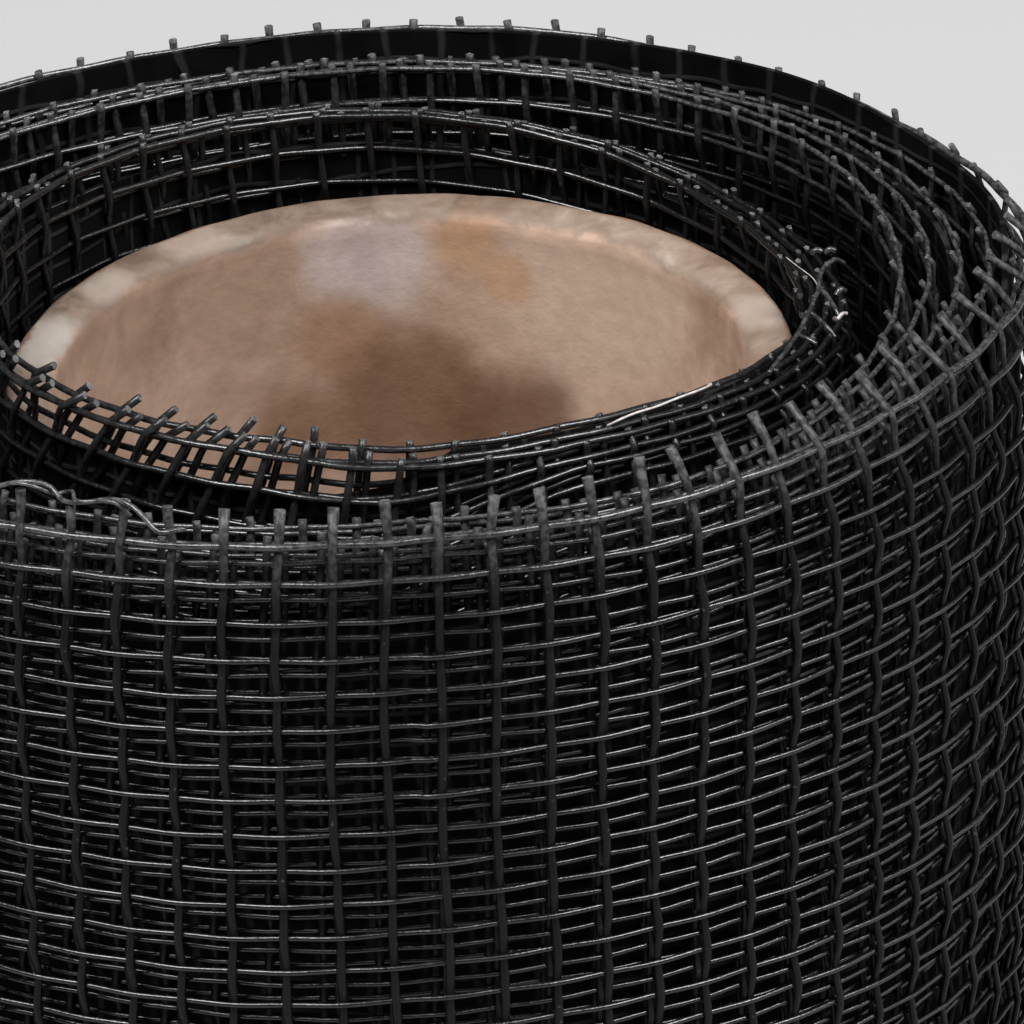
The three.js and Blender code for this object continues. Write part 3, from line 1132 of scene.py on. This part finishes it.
def loose_wires(name, routes, materials):
    tubes = Tubes()
    for radius, wobble, places in routes:
        bearings, radii, heights = (np.array(column, float) for column in zip(*places))
        route = spline(place_at(np.radians(bearings), radii, heights), THREAD_STEPS)
        length = np.concatenate(([0], np.cumsum(np.linalg.norm(np.diff(route, axis=0), axis=1))))
        sway = np.stack([line_wave(wobble, 1.5, 4.0)(length) for _ in range(3)], -1)
        side = np.broadcast_to(UPRIGHT, route.shape)
        tubes.add(route + sway, side, radius, THREAD_SIDES)
    wire_piece(name, tubes, materials)


loose_wires("bent_ends", BENT_ENDS, RUNNING_YARN)
loose_wires("pale_filaments", PALE_FILAMENTS, [bare_glass_and_highlight(), yarn_cut])


TUBE_SEGMENTS = 288

# Half the tube's section, from its foot up the outside and down the inside: radius, height and
# how far the wear of the end reaches there
TUBE_PROFILE = [
    (TUBE_INNER_RADIUS, 0.0, 0),
    (TUBE_OUTER_RADIUS, 0.0, 0),
    (TUBE_OUTER_RADIUS, 40.0, 0),
    (TUBE_OUTER_RADIUS, 84.0, 0),
    (TUBE_OUTER_RADIUS, TUBE_TOP - 0.22, 0.6),
    (TUBE_OUTER_RADIUS - 0.06, TUBE_TOP - 0.05, 1),
    (TUBE_OUTER_RADIUS - 0.20, TUBE_TOP, 1),
    (TUBE_INNER_RADIUS + 1.15, TUBE_TOP - 0.02, 1),
    (TUBE_INNER_RADIUS + 0.60, TUBE_TOP - 0.04, 1),
    (TUBE_INNER_RADIUS + 0.28, TUBE_TOP - 0.10, 1),
    (TUBE_INNER_RADIUS + 0.10, TUBE_TOP - 0.24, 1),
    (TUBE_INNER_RADIUS + 0.02, TUBE_TOP - 0.45, 0.9),
    (TUBE_INNER_RADIUS, TUBE_TOP - 0.9, 0.4),
    (TUBE_INNER_RADIUS, 92.0, 0),
    (TUBE_INNER_RADIUS, 88.0, 0),
    (TUBE_INNER_RADIUS, 80.0, 0),
    (TUBE_INNER_RADIUS, 50.0, 0),
]

# The wear of the end: slow waves, counted round the tube, and a few nicks
WAVE_COUNTS = (2, 3, 5, 8, 13)
WAVE_SIZE = 0.03
NICKS = 7
NICK_DEPTH = 0.08
NICK_WIDTHS = (0.03, 0.12)


def worn_lip(turn):
    """How far the end stands above its plain height, at angles in radians round the tube."""
    phases = rng.uniform(0, 6, len(WAVE_COUNTS))
    waves = sum(WAVE_SIZE * np.sin(k * turn + p) / math.sqrt(k) for k, p in zip(WAVE_COUNTS, phases))
    nicks = 0.0
    for centre, width in zip(rng.uniform(0, 6.28, NICKS), rng.uniform(*NICK_WIDTHS, NICKS)):
        away = np.mod(turn - centre + math.pi, 2 * math.pi) - math.pi
        nicks = nicks - NICK_DEPTH * np.exp(-(away / width) ** 2)
    return waves + nicks


def core_tube():
    """Cardboard tube with a worn, slightly uneven end of wound plies."""
    turn = np.arange(TUBE_SEGMENTS) * 2 * math.pi / TUBE_SEGMENTS
    lip = worn_lip(turn)
    rough = [wave_field(6, 0.8, 4.0, 0.025) for _ in TUBE_PROFILE]
    rings = []
    for unevenness, (radius, height, worn) in zip(rough, TUBE_PROFILE):
        if worn:
            radius = radius + unevenness(turn * 12, 0.0) * 0.7
            height = height + worn * lip + unevenness(turn * 12, 3.0)
        rings.append(place_at(turn, radius, height))
    faces = ring_faces(len(TUBE_PROFILE), TUBE_SEGMENTS)
    smooth_faces = np.arange(len(faces)) >= TUBE_SEGMENTS
    piece = mesh_object("cardboard_tube", np.concatenate(rings), [faces], [cardboard()],
                        np.zeros(len(faces)), smooth_faces)
    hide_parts("core_tube")


core_tube()

# The solids that the pieces replace carry the same materials
for node, material in (("screen_roll", cross_yarn), ("core_tube", bpy.data.materials["cardboard"])):
    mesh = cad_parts[node].data
    mesh.materials.clear()
    mesh.materials.append(material)


# Studio, in metres

FLOOR_HALF = 3.0
WORLD_STRENGTH = 0.10

# Soft boxes: name, left, right, near, far, height and radiance
SOFT_BOXES = [
    ("left_overhead", -1.20, -0.20, -0.95, -0.15, 1.6, 24.0),
    ("right_overhead", 0.40, 1.42, -0.95, -0.15, 1.6, 24.0),
    ("right_fill", 1.60, 3.20, -1.30, 0.50, 1.1, 5.0),
]


def make_floor():
    half = FLOOR_HALF
    corners = [(-half, -half, 0), (half, -half, 0), (half, half, 0), (-half, half, 0)]
    mesh = bpy.data.meshes.new("studio_floor")
    mesh.from_pydata(corners, [], [(0, 1, 2, 3)])
    mesh.materials.append(pale_floor())
    floor = bpy.data.objects.new("studio_floor", mesh)
    bpy.context.scene.collection.objects.link(floor)


def soft_box(name, left, right, near, far, height, radiance):
    """Soft box that spans left to right and near to far at a height, and shines straight down."""
    light = bpy.data.lights.new(name, "AREA")
    light.shape = "RECTANGLE"
    light.size = right - left
    light.size_y = far - near
    light.energy = radiance * math.pi * light.size * light.size_y
    holder = bpy.data.objects.new(name, light)
    bpy.context.scene.collection.objects.link(holder)
    holder.location = ((left + right) / 2, (near + far) / 2, height)


def make_studio():
    make_floor()
    world = bpy.data.worlds.new("studio")
    bpy.context.scene.world = world
    world.use_nodes = True
    background = world.node_tree.nodes["Background"]
    background.inputs["Color"].default_value = (1, 1, 1, 1)
    background.inputs["Strength"].default_value = WORLD_STRENGTH
    for box in SOFT_BOXES:
        soft_box(*box)
    bpy.context.scene.view_settings.view_transform = "Standard"


make_studio()
